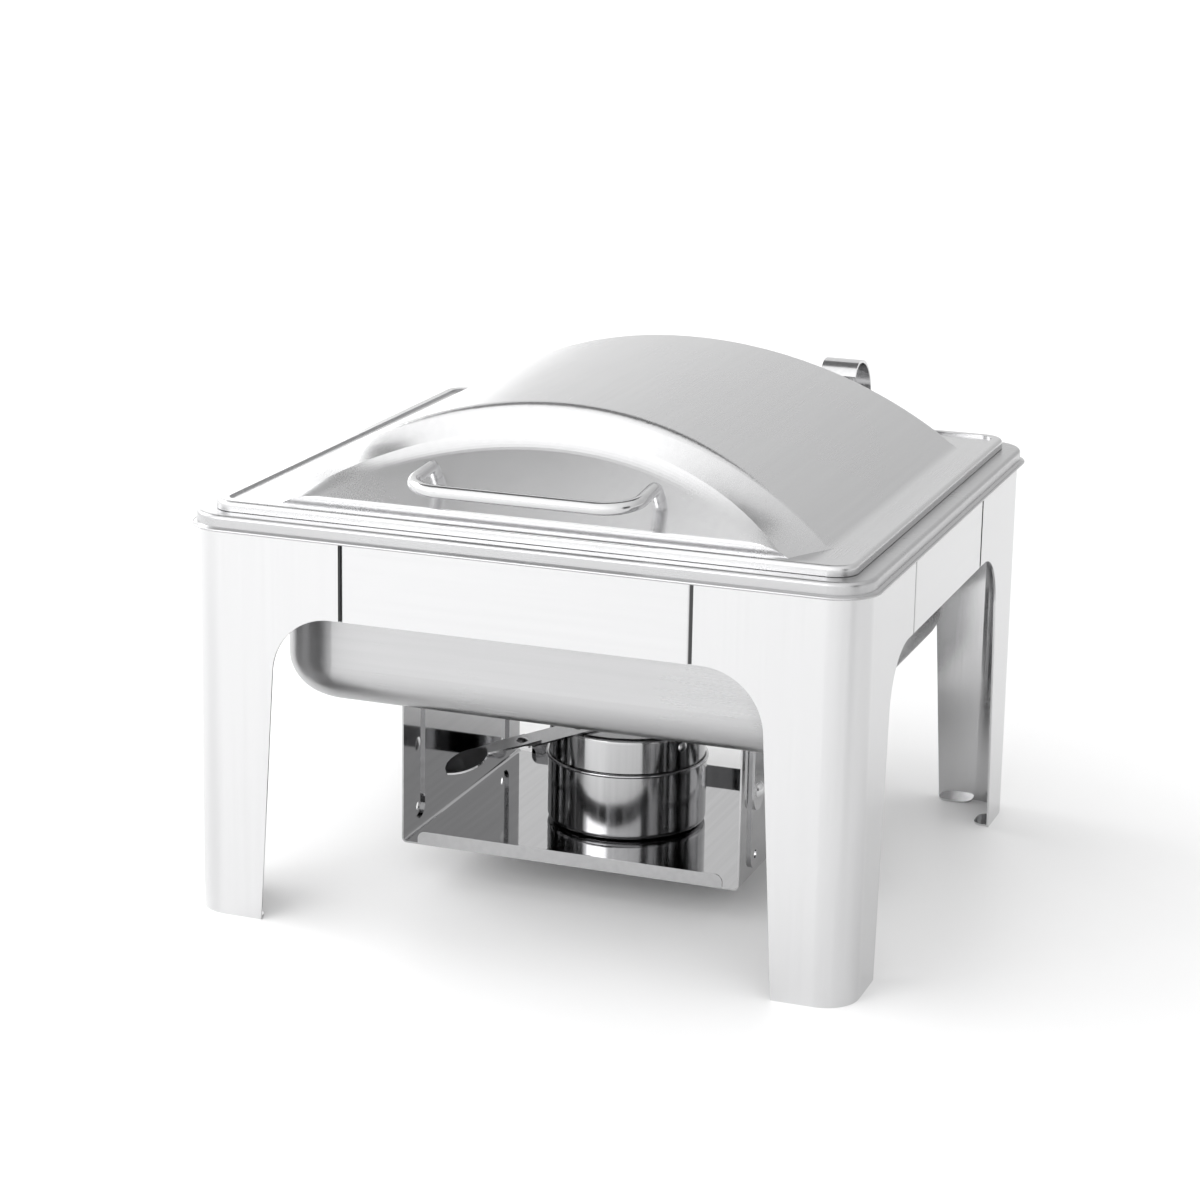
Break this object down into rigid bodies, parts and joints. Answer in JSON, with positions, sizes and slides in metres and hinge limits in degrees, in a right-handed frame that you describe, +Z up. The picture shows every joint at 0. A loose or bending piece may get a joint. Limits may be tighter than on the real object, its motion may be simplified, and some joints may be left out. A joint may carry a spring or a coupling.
{
  "type": "chafing dish food warmer",
  "caption": "Free-standing chafing dish: polished stand, water pan, food pan, vaulted lift-off lid with a bar handle, and a fuel burner on a hung tray.",
  "frame": {"origin": "on the table, under the middle of the whole assembly's bounding box", "axes": "+X to the right seen from the handle side, +Y towards the lid hooks at the back, +Z up"},
  "size_m": [0.418, 0.4432, 0.3145],
  "materials": {
    "polished_steel": "mirror-polished stainless steel",
    "satin_steel": "satin stainless steel"
  },
  "bodies": {
    "frame": {"leg_front_left": "polished_steel", "leg_front_right": "polished_steel", "leg_back_left": "polished_steel", "leg_back_right": "polished_steel", "apron_front": "polished_steel", "apron_back": "polished_steel", "apron_left": "polished_steel", "apron_right": "polished_steel", "lid_hook_left": "polished_steel", "lid_hook_right": "polished_steel", "hook_rivets": "polished_steel"},
    "water_pan": {"water_pan": "satin_steel", "hanger_front_left": "polished_steel", "hanger_front_right": "polished_steel", "hanger_back_left": "polished_steel", "hanger_back_right": "polished_steel", "hanger_studs": "polished_steel", "hanger_nuts": "polished_steel", "tray": "polished_steel", "tray_rivets": "polished_steel"},
    "food_pan": {"food_pan": "satin_steel"},
    "lid": {"lid_shell": "satin_steel", "lid_handle": "polished_steel", "handle_washers": "polished_steel", "handle_nuts": "polished_steel"},
    "burner": {"burner_cup": "polished_steel", "burner_collar": "polished_steel", "burner_rivets": "polished_steel", "damper_pivot": "polished_steel"},
    "damper": {"damper_cover": "polished_steel", "damper_tab": "polished_steel", "damper_rivet": "polished_steel"}
  },
  "joints": [
    {"name": "water_pan_lift", "type": "slide", "parent": "frame", "child": "water_pan", "axis": [0, 0, 1], "range_m": [0, 0.06]},
    {"name": "food_pan_lift", "type": "slide", "parent": "water_pan", "child": "food_pan", "axis": [0, 0, 1], "range_m": [0, 0.1]},
    {"name": "lid_lift", "type": "slide", "parent": "food_pan", "child": "lid", "axis": [0, 0, 1], "range_m": [0, 0.15]},
    {"name": "burner_slide", "type": "slide", "parent": "water_pan", "child": "burner", "axis": [0, -0.9833, 0.1822], "range_m": [0, 0.13]},
    {"name": "damper_swing", "type": "hinge", "parent": "burner", "child": "damper", "pos_m": [-0.01613, -0.05524, 0.0925], "axis": [0, 0, 1], "range_deg": [0, 80]}
  ]
}
